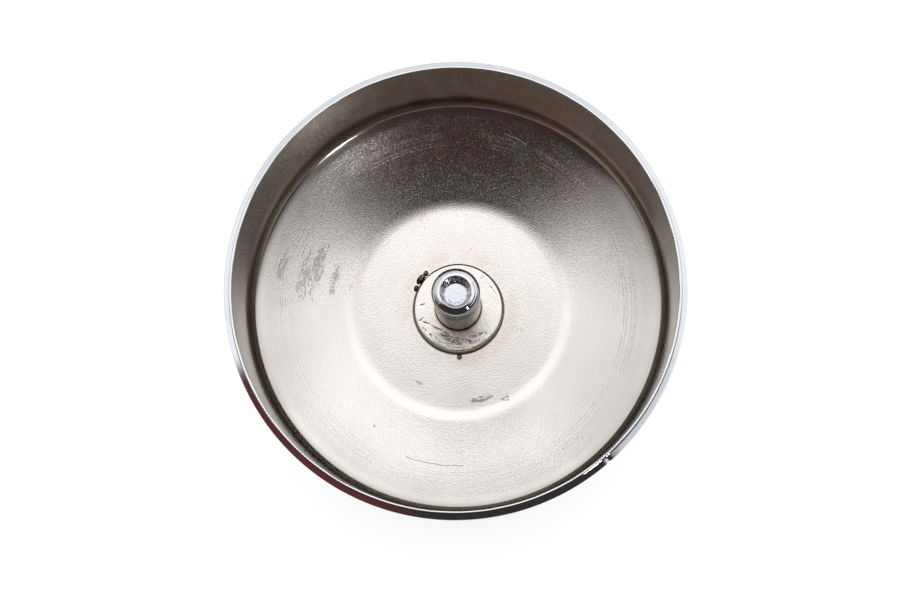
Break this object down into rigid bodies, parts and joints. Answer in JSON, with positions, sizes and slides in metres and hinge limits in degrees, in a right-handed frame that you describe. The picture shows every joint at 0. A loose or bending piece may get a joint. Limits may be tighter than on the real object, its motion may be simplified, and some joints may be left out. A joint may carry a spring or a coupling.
{
  "type": "air filter housing",
  "caption": "Round drawn-steel air filter housing cup, open at the top, with a welded flange and a short centre post standing on its dished floor.",
  "frame": {"origin": "centre of the flat closed face that the cup stands on", "axes": "+Z along the cup's axis, out of its open mouth; +Y towards the upper edge of the usual view from above"},
  "size_m": [0.06, 0.06, 0.0231],
  "materials": {
    "plated_sheet": "mirror outside, satin inside",
    "nickel_flange": "satin nickel",
    "chrome_post": "bright at the tip, dull at the foot",
    "weld_metal": "rough, dark oxide"
  },
  "bodies": {
    "root": {"housing_cup": "plated_sheet", "weld_flange": "nickel_flange", "centre_post": "chrome_post", "weld_nugget_1": "weld_metal", "weld_nugget_2": "weld_metal", "weld_nugget_3": "weld_metal", "weld_bead_1": "weld_metal", "weld_bead_2": "weld_metal", "weld_bead_3": "weld_metal", "weld_bead_4": "weld_metal"}
  },
  "joints": []
}
